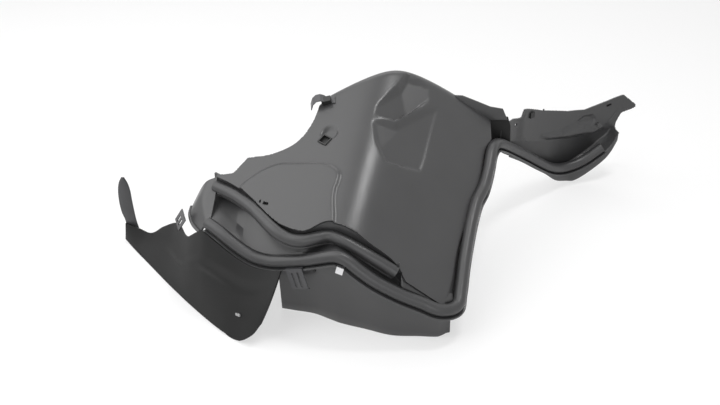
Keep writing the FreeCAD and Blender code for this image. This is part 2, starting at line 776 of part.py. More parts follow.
for thing in doc.Objects:
    if "Invalid" in thing.State or "Error" in thing.State:
        raise RuntimeError("%s did not build" % thing.Label)
for name, node in nodes.items():
    shape = node.Shape
    if shape.isNull() or not shape.isValid() or len(shape.Solids) != 1:
        raise RuntimeError("%s is not one sound solid" % name)
    print(name, round(shape.Volume), [round(v, 1) for v in (shape.BoundBox.XLength, shape.BoundBox.YLength,
                                                          shape.BoundBox.ZLength)])
for name, node in nodes.items():
    node.Shape.exportStep("parts/%s.step" % name)
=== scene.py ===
import bpy
import bmesh
import math
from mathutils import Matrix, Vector, noise
from mathutils.geometry import interpolate_bezier


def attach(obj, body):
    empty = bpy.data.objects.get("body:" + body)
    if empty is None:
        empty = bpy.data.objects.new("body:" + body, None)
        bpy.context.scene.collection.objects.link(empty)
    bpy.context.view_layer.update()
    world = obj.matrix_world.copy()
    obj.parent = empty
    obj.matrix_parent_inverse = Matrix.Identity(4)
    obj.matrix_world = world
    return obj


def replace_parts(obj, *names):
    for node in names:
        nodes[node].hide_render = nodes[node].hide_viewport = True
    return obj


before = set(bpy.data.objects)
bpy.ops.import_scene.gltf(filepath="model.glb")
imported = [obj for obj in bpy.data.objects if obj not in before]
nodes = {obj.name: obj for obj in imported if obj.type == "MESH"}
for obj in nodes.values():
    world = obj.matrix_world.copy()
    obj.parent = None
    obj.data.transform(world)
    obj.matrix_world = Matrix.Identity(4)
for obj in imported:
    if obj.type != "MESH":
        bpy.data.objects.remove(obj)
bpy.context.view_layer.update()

# The panel's own drawing is in millimetres from a datum under its apex; this brings it to the frame.
drawing = {
    "acrossShift": -0.01,
    "depthShift": 8.953,
    "unit": 0.001,
}


def place(x, y, z):
    return Vector((x + drawing["acrossShift"], y + drawing["depthShift"], z)) * drawing["unit"]


# lines and surfaces of the drawing


def curveThrough(points, perRun=6):
    # smooth line through the points, its handles a third of each run long
    route = [Vector(p) for p in points]
    line = []
    for k in range(len(route) - 1):
        before = route[max(k - 1, 0)]
        start, end = route[k], route[k + 1]
        after = route[min(k + 2, len(route) - 1)]
        span = (end - start).length
        leave = (end - before).normalized() * span / 3
        reach = (after - start).normalized() * span / 3
        line += interpolate_bezier(start, start + leave, end - reach, end, perRun + 1)[:-1]
    return line + [route[-1]]


def flatCurve(points, perRun=6):
    return [(p.x, p.y) for p in curveThrough([p + (0,) for p in points], perRun)]


def runAt(points, x):
    # the run of a line that holds this x
    for first, second in zip(points, points[1:]):
        if x <= second[0]:
            break
    return first, second


def valueAt(points, x, column):
    first, second = runAt(points, x)
    share = (x - first[0]) / (second[0] - first[0])
    return first[column] + share * (second[column] - first[column])


def inside(outline, x, y):
    odd = False
    for (ax, ay), (bx, by) in zip(outline, outline[1:] + outline[:1]):
        if (ay > y) != (by > y) and x < ax + (y - ay) * (bx - ax) / (by - ay):
            odd = not odd
    return odd


def nearestOn(outline, x, y):
    # how far the outline is, and its nearest point
    best = None
    for (ax, ay), (bx, by) in zip(outline, outline[1:] + outline[:1]):
        dx, dy = bx - ax, by - ay
        share = max(0, min(1, ((x - ax) * dx + (y - ay) * dy) / (dx * dx + dy * dy + 1e-9)))
        px, py = ax + dx * share, ay + dy * share
        gap = math.hypot(x - px, y - py)
        if best is None or gap < best[0]:
            best = (gap, px, py)
    return best


def depthInside(outline, x, y):
    # distance to the edge, above zero inside the outline
    gap = nearestOn(outline, x, y)[0]
    return gap if inside(outline, x, y) else -gap


def ramp(value):
    value = max(0.0, min(1.0, value))
    return value * value * (3 - 2 * value)


def planeHeight(three, x, y):
    first, second, third = [Vector(p) for p in three]
    normal = (second - first).cross(third - first)
    return first.z - (normal.x * (x - first.x) + normal.y * (y - first.y)) / normal.z


# routes of the seals, which the ledges, the steps and the skirt follow
longSeal = [(-212, -110, 100), (-198, -122, 97), (-184, -132, 90.5), (-170, -140, 83.5), (-155.5, -147, 79),
            (-138.5, -153, 78.5), (-122.5, -159, 82.5), (-103.5, -166, 88.5), (-85, -173, 96.5),
            (-67, -179, 103), (-55, -182.5, 100), (-42, -187, 90.5), (-23, -191, 77.3), (3, -193, 62.4),
            (26, -193.5, 51.6), (45, -195, 43.7)]
sideSeal = [(64.5, -183, 39.5), (70, -165, 47), (76, -134, 63.4), (82, -108, 76), (88, -85, 87.3),
            (96, -60, 97.8), (105.5, -40, 104), (114, -14, 115), (121, 12, 128)]
armSeal = [(131, 33, 124), (160, 69, 95), (182, 90, 74), (203, 108, 54), (223, 125, 37), (242, 140, 28),
           (259, 147, 29), (276, 153, 35), (299, 160, 50)]
armSealOnwards = [(312, 165, 62), (320, 170, 78), (328, 177, 98)]
ledgeSeal = [(-207, -66, 121.5), (-185, -84, 121.5), (-162, -109, 120.5), (-134, -147, 115.6),
             (-118, -157.5, 111), (-103, -161.5, 111), (-88, -159, 112.5), (-74, -155, 112.5),
             (-59, -161, 110), (-44, -167, 104.4), (-27.5, -173, 96.6), (-9, -176.5, 85), (-2.5, -178, 81)]
frontSeal = longSeal + sideSeal


# meshes and pieces
upright = Vector((0, 0, 1))
walls = {
    "rim": 0.6,
    "rimSegments": 2,
    "rimAngle": 62,
    "filletSegments": 3,
    "filletAngle": 24,
    "smoothAngle": 50,
    "weld": 0.00001,
}


def meshOf(name, verts, faces=(), edges=()):
    mesh = bpy.data.meshes.new(name)
    mesh.from_pydata(verts, edges, faces)
    mesh.update()
    return mesh


def meshFrom(shell, name):
    mesh = bpy.data.meshes.new(name)
    shell.to_mesh(mesh)
    shell.free()
    return mesh


def inScene(name, data):
    thing = bpy.data.objects.new(name, data)
    bpy.context.scene.collection.objects.link(thing)
    return thing


def newObject(name, mesh):
    piece = inScene(name, mesh)
    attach(piece, "root")
    return piece


def applied(piece):
    # the piece's modifiers become its mesh
    graph = bpy.context.evaluated_depsgraph_get()
    mesh = bpy.data.meshes.new_from_object(piece.evaluated_get(graph))
    piece.modifiers.clear()
    piece.data = mesh
    return piece


def smooth(mesh, degrees):
    mesh.shade_smooth()
    mesh.set_sharp_from_angle(angle=math.radians(degrees))


def roundEdges(piece, width, segments, degrees):
    bevel = piece.modifiers.new("Rounding", "BEVEL")
    bevel.width = width * drawing["unit"]
    bevel.segments = segments
    bevel.limit_method = "ANGLE"
    bevel.angle_limit = math.radians(degrees)


def wallSide(mesh, outward):
    # the side that a wall grows to, so that the sheet stays its outer face
    facing = sum((p.normal * p.area for p in mesh.polygons), Vector())
    return -1 if facing.dot(Vector(outward)) > 0 else 1


def thicken(piece, thickness, offset, rim=walls["rim"], fillet=0.0, rimAngle=walls["rimAngle"]):
    # inner corners rounded first, then the wall's thickness, then its rim
    if fillet:
        roundEdges(piece, fillet, walls["filletSegments"], walls["filletAngle"])
    thick = piece.modifiers.new("Wall", "SOLIDIFY")
    thick.thickness = thickness * drawing["unit"]
    thick.offset = offset
    roundEdges(piece, rim, walls["rimSegments"], rimAngle)
    applied(piece)
    smooth(piece.data, walls["smoothAngle"])
    return piece


def closedUp(piece):
    shell = bmesh.new()
    shell.from_mesh(piece.data)
    bmesh.ops.remove_doubles(shell, verts=shell.verts, dist=walls["weld"])
    bmesh.ops.recalc_face_normals(shell, faces=shell.faces)
    shell.to_mesh(piece.data)
    shell.free()
    smooth(piece.data, walls["smoothAngle"])


def rowsPiece(name, stations, thickness, outward, fillet=0.0, perRun=6):
    # a bent sheet through cross sections: every row of matching points becomes one smooth line
    rows = [curveThrough(row, perRun) for row in zip(*stations)]
    verts = [place(*p) for row in rows for p in row]
    width = len(rows[0])
    faces = []
    for j in range(len(rows) - 1):
        for i in range(width - 1):
            k = j * width + i
            faces.append((k, k + 1, k + width + 1, k + width))
    mesh = meshOf(name, verts, faces)
    piece = newObject(name, mesh)
    return thicken(piece, thickness, wallSide(mesh, outward), fillet=fillet)


trim = {
    "borderReach": 1.8,
    "weld": 0.00005,
    "sliver": 0.00002,
}


def trimmedGrid(name, columns, outline, holes, point, cell, rolled=None):
    # A grid of drawing points cut to an outline: its border moves onto the outline and the holes' edges.
    # Points with a height of their own, on the rolled crest, are cut at the two ends in rolled.
    shell = bmesh.new()
    inner = {}
    kept = {}
    for i, column in enumerate(columns):
        for j, (u, v, fixed) in enumerate(column):
            if fixed is not None:
                if rolled[0] <= u <= rolled[1]:
                    inner[i, j] = (u, v, fixed)
            elif inside(outline, u, v) and not any(inside(hole, u, v) for hole in holes):
                inner[i, j] = (u, v, None)

    def corner(i, j):
        if (i, j) in kept:
            return kept[i, j]
        if (i, j) in inner:
            u, v, fixed = inner[i, j]
        else:
            u, v, fixed = columns[i][j]
            if fixed is None:
                border = outline
                for hole in holes:
                    if inside(hole, u, v):
                        border = hole
                gap, u, v = nearestOn(border, u, v)
                if gap > cell * trim["borderReach"]:
                    return None
            else:
                edge = max(rolled[0], min(rolled[1], u))
                if abs(edge - u) > cell:
                    return None
                u = edge
        kept[i, j] = shell.verts.new(place(*point(u, v, fixed)))
        return kept[i, j]

    for i in range(len(columns) - 1):
        for j in range(len(columns[i]) - 1):
            four = [(i, j), (i + 1, j), (i + 1, j + 1), (i, j + 1)]
            if sum(f in inner for f in four) >= 2:
                corners = [corner(*f) for f in four]
                if all(corners):
                    shell.faces.new(corners)
    bmesh.ops.remove_doubles(shell, verts=shell.verts, dist=trim["weld"])
    bmesh.ops.dissolve_degenerate(shell, dist=trim["sliver"], edges=shell.edges)
    bmesh.ops.recalc_face_normals(shell, faces=shell.faces)
    return meshFrom(shell, name)


def turned(name, spot, up, profile, sides=24):
    # a small round piece: (radius, height) pairs turned about its axis
    shell = bmesh.new()
    across = up.orthogonal().normalized()
    beside = up.cross(across)
    rings = []
    for radius, height in profile:
        ring = []
        for k in range(sides):
            turn = 2 * math.pi * k / sides
            spoke = across * math.cos(turn) + beside * math.sin(turn)
            ring.append(shell.verts.new(place(*(spot + spoke * radius + up * height))))
        rings.append(ring)
    for low, high in zip(rings, rings[1:]):
        for k in range(sides):
            shell.faces.new((low[k], low[(k + 1) % sides], high[(k + 1) % sides], high[k]))
    shell.faces.new(rings[0][::-1])
    shell.faces.new(rings[-1])
    bmesh.ops.recalc_face_normals(shell, faces=shell.faces)
    piece = newObject(name, meshFrom(shell, name))
    smooth(piece.data, 40)
    return piece


def slab(name, spot, across, along, size):
    # a flat block on its own directions, its size given as (across, along, thick)
    up = across.cross(along)
    shell = bmesh.new()
    corners = []
    for c in (-0.5, 0.5):
        for a, b in ((-1, -1), (1, -1), (1, 1), (-1, 1)):
            corner = spot + across * size[0] * a / 2 + along * size[1] * b / 2 + up * size[2] * c
            corners.append(shell.verts.new(place(*corner)))
    for four in ((3, 2, 1, 0), (4, 5, 6, 7), (0, 1, 5, 4), (1, 2, 6, 5), (2, 3, 7, 6), (3, 0, 4, 7)):
        shell.faces.new([corners[k] for k in four])
    bmesh.ops.recalc_face_normals(shell, faces=shell.faces)
    return newObject(name, meshFrom(shell, name))


# face of the panel: two slopes that meet in a rounded, leaning ridge
face = {
    "apexAcross": 3.0,
    "apexDepth": 41.0,
    "apexHeight": 221.0,
    "slope": 0.48,
    "ridgeLean": 0.25,
    "leftFall": 0.27,
    "rightFall": 0.76,
    "ridgeRound": 24.0,
    "crestBow": 0.00104,
    "crestSkew": 0.233,
    "crestRound": 13.0,
    "crestSet": 0.6,
    "crestReturn": 16.0,
    "crestEnds": (-86, 122),
    "rollSteps": 8,
    "returnSteps": 4,
    "wall": 2.5,
    "rim": 0.7,
    "cell": 2.0,
    "across": (-216, 152),
    "frontLimit": -212.0,
    "depthSteps": 120,
    "backLimit": 60,
    "padRise": 2.8,
    "padFillet": 3.4,
    "dimple": (-75.4, -38.5),
    "dimpleBore": 17.0,
    "dimpleDepth": 4.0,
    "dimpleFade": 2.2,
    "insert": (-81, -47.5),
    "insertHole": 10.5,
    "insertSquash": 0.9,
    "slot": (-147, -115),
    "slotCorners": ((-5, 4.6), (-6.4, 2.4), (5, -4.6), (6.4, -2.4)),
}
leftCut = [(-86, 13), (-94.5, -15.7), (-106.7, -35.4), (-120, -45.4), (-144, -50.3), (-170, -47.4)]
leftTip = (-186, -64)
ledgeEdge = [(-209.5, -60.5), (-180, -84), (-160, -107), (-131, -142.5), (-113, -155), (-99.5, -159.5),
             (-75, -152.5), (-47, -161.5), (-31, -168), (-3, -174), (8, -186)]
rightEdge = [(50, -188), (61, -157), (68, -126), (82, -85), (90, -60), (101, -33), (112, 9), (121, 27)]
rightEnd = 123
padOutline = [(-186, -97), (-170, -81), (-148, -70), (-131, -68), (-114, -72), (-77, -82), (-66, -92),
              (-64, -100), (-69, -118), (-74, -170), (-120, -190), (-180, -150)]
roundedPad = flatCurve(padOutline + padOutline[:1], 4)[:-1]

# pressed recesses: each floor is two planes, given by three points each, that join as a valley or a fold
recesses = [
    {
        "outline": [(-28, -18), (5, 20), (14, 37), (30, 38), (45, 37), (42, 22), (19, -3), (-1, -23), (-23, -23)],
        "left": [(-26, -19, 185.5), (7, 20, 199), (14, -8, 178)],
        "right": [(7, 20, 199), (44, 34, 185.45), (18, -2, 179)],
        "join": max,
        "fade": 1.8,
    },
    {
        "outline": [(-27, -30), (-23, -56), (-12, -75), (8, -71), (28, -65), (33, -52), (40, -26), (53, 22),
                    (22, -6), (0, -28)],
        "left": [(-26.5, -31, 187), (-12, -74, 158), (20, -8, 179)],
        "right": [(53, 22, 179), (28, -64, 139.4), (20, -8, 179)],
        "join": min,
        "fade": 4.5,
    },
]


def faceHeight(x, y):
    ridge = face["apexAcross"] + face["ridgeLean"] * (y - face["apexDepth"])
    across = x - ridge
    skew = (face["rightFall"] - face["leftFall"]) / 2
    mean = (face["rightFall"] + face["leftFall"]) / 2
    rounding = face["ridgeRound"]
    fall = skew * across + mean * (math.hypot(across, rounding) - rounding)
    return face["apexHeight"] - face["slope"] * (face["apexDepth"] - y) - fall


def crestDepth(x):
    across = x - face["apexAcross"]
    return face["apexDepth"] + face["crestSkew"] * across - face["crestBow"] * across ** 2


def faceDetail(x, y):
    # the plain face with its pad, its recesses and its dimple; the limits only save time
    base = faceHeight(x, y)
    height = base
    if -200 < x < -50 and -200 < y < -55:
        height += face["padRise"] * ramp(depthInside(roundedPad, x, y) / face["padFillet"] + 0.5)
    if -40 < x < 60 and -85 < y < 48:
        for recess in recesses:
            left = planeHeight(recess["left"], x, y)
            right = planeHeight(recess["right"], x, y)
            floor = min(base, recess["join"](left, right))
            height -= (base - floor) * ramp(depthInside(recess["outline"], x, y) / recess["fade"] + 0.3)
    gap = math.hypot(x - face["dimple"][0], y - face["dimple"][1])
    height -= face["dimpleDepth"] * ramp((face["dimpleBore"] / 2 - gap) / face["dimpleFade"] + 0.4)
    return height


def faceDirections(x, y):
    # across the face, up its slope and away from it, at this place
    across = Vector((2, 0, faceHeight(x + 1, y) - faceHeight(x - 1, y))).normalized()
    along = Vector((0, 2, faceHeight(x, y + 1) - faceHeight(x, y - 1))).normalized()
    up = across.cross(along).normalized()
    return across, up.cross(across), up


def planOutline():
    left = face["crestEnds"][0]
    edge = [(left, crestDepth(left) + face["backLimit"])]
    edge += flatCurve(leftCut) + [leftTip] + flatCurve(ledgeEdge) + flatCurve(rightEdge)
    return edge + [(rightEnd, crestDepth(rightEnd) + face["backLimit"])]


def faceColumns():
    # columns of grid points from the front to the crest, then round its roll and down its return
    first, last = face["across"]
    front, steps = face["frontLimit"], face["depthSteps"]
    roll = face["crestRound"]
    columns = []
    for i in range(int((last - first) / face["cell"]) + 1):
        x = first + face["cell"] * i
        back = crestDepth(x) - roll * face["crestSet"]
        column = [(x, front + (back - front) * j / steps, None) for j in range(steps + 1)]
        lean = math.atan(faceHeight(x, back + 0.5) - faceHeight(x, back - 0.5))
        centreY = back + roll * math.sin(lean)
        centreZ = faceHeight(x, back) - roll * math.cos(lean)
        for j in range(1, face["rollSteps"] + 1):
            turn = -lean + (math.pi / 2 + lean) * j / face["rollSteps"]
            column.append((x, centreY + roll * math.sin(turn), centreZ + roll * math.cos(turn)))
        for j in range(1, face["returnSteps"] + 1):
            column.append((x, centreY + roll, centreZ - face["crestReturn"] * j / face["returnSteps"]))
        columns.append(column)
    return columns


def makeFace():
    half = face["insertHole"] / 2 * math.sqrt(2)
    x, y = face["insert"]
    square = [(x + half * a, y + half * b * face["insertSquash"]) for a, b in ((1, 0), (0, 1), (-1, 0), (0, -1))]
    slot = [(face["slot"][0] + a, face["slot"][1] + b) for a, b in face["slotCorners"]]

    def point(x, y, fixed):
        return x, y, faceDetail(x, y) if fixed is None else fixed

    mesh = trimmedGrid("facePanel", faceColumns(), planOutline(), [square, slot], point, face["cell"],
                       face["crestEnds"])
    sheet = newObject("panelFace", mesh)
    thicken(sheet, face["wall"], wallSide(mesh, (0, 0, 1)), face["rim"])
    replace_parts(sheet, "panel_moulding")
    return sheet


# channel between the two seals: a wall below the face's front edge, a shelf, and a step behind the bulb
channel = {
    "stations": (-209, -198, -184, -170, -155, -138, -120, -103, -85, -67, -55, -42, -23, -5, 8),
    "topBack": 4.5,
    "wallBack": 5,
    "wallDrop": 24,
    "wallFoot": 4,
    "bulb": 7.0,
    "behindBulb": 1.2,
    "belowBulb": 0.5,
    "shelf": 2,
    "bellyAt": 0.45,
    "bellyMix": 0.4,
    "bellySag": 1.2,
    "fillet": 3.2,
}


def makeChannel():
    stations = []
    for x in channel["stations"]:
        edge = valueAt(ledgeEdge, x, 1)
        sealY = valueAt(longSeal, x, 1)
        sealZ = valueAt(longSeal, x, 2)
        # a cut at constant x is wider than the bulb where the seal runs askew
        first, second = runAt(longSeal, x)
        run = second[0] - first[0]
        level = math.hypot(run, second[1] - first[1]) / run
        steep = math.hypot(run, second[2] - first[2]) / run
        back = edge + channel["wallBack"]
        top = faceHeight(x, back) - face["wall"] * 0.6
        low = max(top - channel["wallDrop"], sealZ + channel["wallFoot"])
        step = sealY + (channel["bulb"] + channel["behindBulb"]) * level
        shelf = sealZ + channel["shelf"]
        belly = low * channel["bellyMix"] + shelf * (1 - channel["bellyMix"]) - channel["bellySag"]
        stations.append([(x, edge + channel["topBack"], top), (x, back, low),
                         (x, step + (back - step) * channel["bellyAt"], belly), (x, step, shelf),
                         (x, step, sealZ - (channel["bulb"] + channel["belowBulb"]) * steep)])
    return rowsPiece("panelChannel", stations, face["wall"], (0, -0.6, 0.8), channel["fillet"])


# step from the face down behind the bulb: at the front corner, and up the right edge
cornerStep = {
    "stations": (3, 18, 32, 45, 53, 61),
    "root": 17,
    "behindSeal": 7.5,
    "above": 3,
    "below": 7.2,
    "fillet": 2.5,
}
sideStep = {
    "root": 14,
    "behindSeal": 8.2,
    "above": 1,
    "below": 7.5,
    "endDrop": 1.5,
    "fillet": 2.0,
}


def makeCornerStep():
    stations = []
    for x in cornerStep["stations"]:
        sealY = valueAt(frontSeal, x, 1)
        sealZ = valueAt(frontSeal, x, 2)
        root = sealY + cornerStep["root"]
        step = sealY + cornerStep["behindSeal"]
        stations.append([(x, root, faceHeight(x, root) - face["wall"] * 0.5), (x, step, sealZ + cornerStep["above"]),
                         (x, step, sealZ - cornerStep["below"])])
    return rowsPiece("panelCornerStep", stations, face["wall"], (0, -0.6, 0.8), cornerStep["fillet"])


def makeSideStep():
    points = [Vector(p) for p in sideSeal + armSeal[:1]]
    stations = []
    for k, centre in enumerate(points):
        along = (points[min(k + 1, len(points) - 1)] - points[max(k - 1, 0)]).normalized()
        side = along.cross(upright).normalized()
        root = centre - side * sideStep["root"]
        drop = faceHeight(root.x, root.y) - face["wall"] * 0.5 - centre.z
        if centre.x > sideSeal[-1][0]:
            drop = sideStep["endDrop"]
        behind = sideStep["behindSeal"]
        rows = ((sideStep["root"], drop), (behind, sideStep["above"]), (behind, -sideStep["below"]))
        stations.append([tuple(centre - side * back + upright * z) for back, z in rows])
    return rowsPiece("panelSideStep", stations, face["wall"], (0.8, 0, 0.6), sideStep["fillet"])


skirt = {
    "stations": (-131, -115, -93, -75, -63, -35, -6, 25, 44, 50, 54, 58),
    "foot": [(-132, -139), (-93, -149), (-63, -166), (-6, -187), (51, -190)],
    "beforeSeal": 2,
    "belowSeal": 8.2,
    "rows": 6,
    "lift": 1.4,
    "endLift": 7,
    "endFrom": 44,
    "endRun": 14,
}


def makeSkirt():
    stations = []
    rows = skirt["rows"]
    for x in skirt["stations"]:
        topY = valueAt(frontSeal, x, 1) - skirt["beforeSeal"]
        topZ = valueAt(frontSeal, x, 2) - skirt["belowSeal"]
        footY = valueAt(skirt["foot"], x, 1)
        lift = skirt["lift"] + skirt["endLift"] * ramp((x - skirt["endFrom"]) / skirt["endRun"])
        stations.append([(x, topY + (footY - topY) * k / rows, topZ * (1 - k / rows) + lift * k / rows)
                         for k in range(rows + 1)])
    return rowsPiece("panelSkirt", stations, face["wall"], (0, -1, 0))


shoulder = {
    "rows": [[(-206, -58, 130), (-206, -74, 119), (-210, -106, 100)],
             [(-221, -54, 120), (-223, -72, 112), (-217, -106, 94)],
             [(-237, -50, 92), (-240, -74, 86), (-223, -104, 83)]],
    "rim": [(-239, -60, 90), (-239.5, -72, 87), (-234, -88, 84), (-224, -103, 83)],
    "rimRadius": 0.0021,
}


def makeShoulder():
    stations = [[tuple(p) for p in curveThrough(row, 8)] for row in shoulder["rows"]]
    return rowsPiece("panelShoulder", stations, face["wall"], (-0.5, -0.3, 0.8), perRun=10)


# flange under the right end of the crest, and the web that goes on behind it; the web is coloured near-black as
# painted shade of the hollow under the crest
flange = {
    "lip": [(68, 182), (85, 181), (104, 173), (120, 166), (136, 163), (143, 148), (112, 148), (90, 160),
            (72, 170)],
    "web": [(104, 150), (144, 150), (148, 138), (150, 112), (112, 114)],
    "crestAt": 120,
    "beforeCrest": 4,
    "webBack": 4,
}


def uprightPlate(name, outline, depth):
    # a plate of the wall's thickness, its front face at this depth
    shell = bmesh.new()
    shell.faces.new([shell.verts.new(place(x, depth, z)) for x, z in outline])
    mesh = meshFrom(shell, name)
    piece = newObject(name, mesh)
    return thicken(piece, face["wall"], wallSide(mesh, (0, -1, 0)))


def makeFlange():
    front = crestDepth(flange["crestAt"]) - flange["beforeCrest"]
    return [uprightPlate("crestFlange", flange["lip"], front),
            # the web is moulding, but it is finished near-black later on: painted shade of the hollow behind the
            # crest
            uprightPlate("flangeShadeWeb", flange["web"], front + flange["webBack"])]


# side arm: a plate that stands along a curved line, with a gutter at its foot
arm = {
    "line": [(124, 38), (143, 61), (160, 82), (178, 105), (204, 127), (244, 153.5), (270, 167), (300, 178),
             (325, 183), (344, 180)],
    "outline": [(137, 132), (143, 136), (156, 136), (170, 128.5), (173, 138), (178, 136.5), (204, 123),
                (244, 109), (270, 104.5), (286, 108), (300, 111.5), (325, 120), (342.9, 106.5),
                (342.9, 102), (325.4, 92), (320, 77.5), (320, 70), (300, 69), (276, 64), (242, 66),
                (223, 70), (200, 78), (182, 86), (160, 101), (140, 112), (137, 113)],
    "wall": 2.0,
    "cell": 1.7,
    "across": (124, 342.9),
    "columns": 129,
    "lowest": 60,
    "rows": 48,
    "screwHole": (160.2, 124.7),
    "screwRadius": 2.8,
    "screwSquash": 0.62,
    "plug": (185.5, 124.6),
    "plugHalf": (2.5, 3.2),
    "slot": (305, 106),
    "slotHalf": (4.5, 1.7),
    "slotRise": 1.2,
    "raised": [(206, 84), (214, 78), (247, 69), (288, 66), (300, 72), (288, 84), (262, 86), (247, 84), (236, 80)],
    "raisedRise": 4.0,
    "raisedFade": 7,
    "oval": [(262, 84), (270, 79), (282, 80), (288, 87), (283, 94), (270, 95), (262, 90)],
    "ovalRise": -2.0,
    "ovalFade": 3,
    "post": (290, 81),
    "postProfile": [(3.5, -1), (3.5, 1.2), (2.5, 2), (2.5, 6.4), (1.9, 7)],
    "pin": (204.7, 123),
    "pinBack": 1.2,
    "pinProfile": [(1.2, -1), (1.2, 2.2), (0.7, 3)],
}
corners = ((1, 1), (-1, 1), (-1, -1), (1, -1))


def plateFrame(x):
    # the plate's foot at this x, the way out of its face and the way along it
    line = arm["line"]
    here = Vector((x, valueAt(line, x, 1), 0))
    ahead = Vector((x + 6, valueAt(line, min(x + 6, line[-1][0]), 1), 0))
    behind = Vector((x - 6, valueAt(line, max(x - 6, line[0][0]), 1), 0))
    along = (ahead - behind).normalized()
    return here, Vector((along.y, -along.x, 0)), along


def makeArmPlate():
    smoothLine = flatCurve(arm["line"], 8)
    first, last = arm["across"]
    columns = []
    for i in range(arm["columns"] + 1):
        x = first + (last - first) * i / arm["columns"]
        columns.append([(x, arm["lowest"] + arm["cell"] * j, None) for j in range(arm["rows"] + 1)])
    holeX, holeZ = arm["screwHole"]
    radius = arm["screwRadius"]
    bore = [(holeX + radius * arm["screwSquash"] * math.cos(k * math.pi / 8),
             holeZ + radius * math.sin(k * math.pi / 8)) for k in range(16)]
    plugX, plugZ = arm["plug"]
    halfX, halfZ = arm["plugHalf"]
    square = [(plugX + a * halfX, plugZ + b * halfZ) for a, b in corners]
    slotX, slotZ = arm["slot"]
    halfX, halfZ = arm["slotHalf"]
    slot = [(slotX + a * halfX, slotZ + a * arm["slotRise"] + b * halfZ) for a, b in corners]

    def point(x, z, fixed):
        swell = arm["raisedRise"] * ramp(depthInside(arm["raised"], x, z) / arm["raisedFade"] + 0.5)
        swell += arm["ovalRise"] * ramp(depthInside(arm["oval"], x, z) / arm["ovalFade"] + 0.5)
        out = plateFrame(x)[1]
        return x + out.x * swell, valueAt(smoothLine, x, 1) + out.y * swell, z

    mesh = trimmedGrid("armPlate", columns, arm["outline"], [bore, square, slot], point, arm["cell"])
    return thicken(newObject("armPlate", mesh), arm["wall"], wallSide(mesh, (0, -1, 0)))


# gutter: its height at the plate and the foot of its lip at each x, and how it stands to the seal
gutter = {
    "stations": [(140, 116, 100), (160, 103, 78), (182, 88, 52), (203, 79, 34), (223, 72, 16),
                 (242, 68, 8), (254, 66, 6), (276, 66, 16), (298, 71, 32), (310, 80, 44), (318, 92, 58)],
    "nose": [(-0.4, 4), (-0.4, 0), (-2.0, -5)],
    "wall": 1.9,
    "wallSet": -2.1,
    "wallDrop": 8,
    "pastSeal": 3,
    "aboveSeal": 2,
    "belowSeal": 8.6,
    "behindSeal": 7,
    "beforeSeal": 5,
    "lipDrop": 4.5,
    "fillet": 1.8,
}


def crossing(points, here, along):
    # where a line goes through the plane across the plate at this place
    for first, second in zip(points, points[1:]):
        before = (Vector(first) - here).dot(along)
        after = (Vector(second) - here).dot(along)
        if before <= 0 <= after:
            break
    share = before / (before - after)
    return Vector(first) + (Vector(second) - Vector(first)) * share


def makeGutter():
    line = sideSeal + armSeal + armSealOnwards
    stations = []
    for x, nose, foot in gutter["stations"]:
        here, out, along = plateFrame(x)
        seal = crossing(line, here, along)
        reach = (seal - here).dot(out)
        high = max(nose, seal.z + gutter["aboveSeal"])
        under = seal.z - gutter["belowSeal"]
        lip = reach + gutter["beforeSeal"]
        rows = [(s, high + z) for s, z in gutter["nose"]]
        rows += [(gutter["wallSet"], min(seal.z - gutter["pastSeal"], high - gutter["wallDrop"])),
                 (reach - gutter["behindSeal"], under), (lip, under), (lip, min(foot, under - gutter["lipDrop"]))]
        stations.append([tuple(here + out * s + upright * z) for s, z in rows])
    return rowsPiece("armGutter", stations, gutter["wall"], (0.5, -0.8, 0.2), gutter["fillet"])


def makeArmPosts():
    x, z = arm["post"]
    here, out = plateFrame(x)[:2]
    post = turned("armPost", here + upright * z, out, arm["postProfile"])
    x, z = arm["pin"]
    here, out = plateFrame(x)[:2]
    pin = turned("armPin", here - out * arm["pinBack"] + upright * (z - 1), upright, arm["pinProfile"], 16)
    return [post, pin]


slotFloors = {
    "faceBelow": 5,
    "faceSize": (19, 16, 1.6),
    "armBehind": 4,
    "armSize": (13, 8, 1.2),
}


def makeSlotFloors():
    # closed floors behind the two slots
    x, y = face["slot"]
    across, along, up = faceDirections(x, y)
    below = Vector((x, y, faceHeight(x, y) + face["padRise"])) - up * slotFloors["faceBelow"]
    under = slab("slotFloor", below, across, along, slotFloors["faceSize"])
    x, z = arm["slot"]
    here, out, along = plateFrame(x)
    behind = here - out * slotFloors["armBehind"] + upright * z
    return [under, slab("armSlotFloor", behind, along, upright, slotFloors["armSize"])]


# plastic cup pressed into the square hole, its rim standing proud
insert = {
    "overHole": 1.6,
    "rim": 1.3,
    "rimDepth": 5,
    "rimSink": 1.2,
    "floorSink": 3.5,
    "floor": 1.2,
}


def makeInsert():
    x, y = face["insert"]
    across, along, up = faceDirections(x, y)
    turn = math.radians(45)
    first = across * math.cos(turn) + along * math.sin(turn)
    second = along * math.cos(turn) - across * math.sin(turn)
    centre = Vector((x, y, faceDetail(x, y)))
    size, rim, deep = face["insertHole"] + insert["overHole"], insert["rim"], insert["rimDepth"]
    pieces = [slab("insertFloor", centre - up * insert["floorSink"], first, second,
                   (size - 1, size - 1, insert["floor"]))]
    for side in (-1, 1):
        shift = side * (size - rim) / 2
        sunk = centre - up * insert["rimSink"]
        pieces.append(slab("insertRim", sunk + first * shift, first, second, (rim, size, deep)))
        pieces.append(slab("insertRim", sunk + second * shift, first, second, (size - 2 * rim, rim, deep)))
    return pieces


# dark block that the crest clip stands on
clipFoot = {
    "place": (-80.5, 3, 197.5),
    "size": (11, 8, 6),
}


def makeClipFoot():
    spot = Vector(clipFoot["place"])
    across, along = faceDirections(spot.x, spot.y)[:2]
    return slab("clipFoot", spot, across, along, clipFoot["size"])


# thin pin beside the end of the short seal
ledgePin = {
    "place": (1, -175, 87),
    "profile": [(1.0, -8), (1.0, 4), (0.6, 5)],
}


def makeLedgePin():
    return turned("ledgePin", Vector(ledgePin["place"]), upright, ledgePin["profile"], 12)


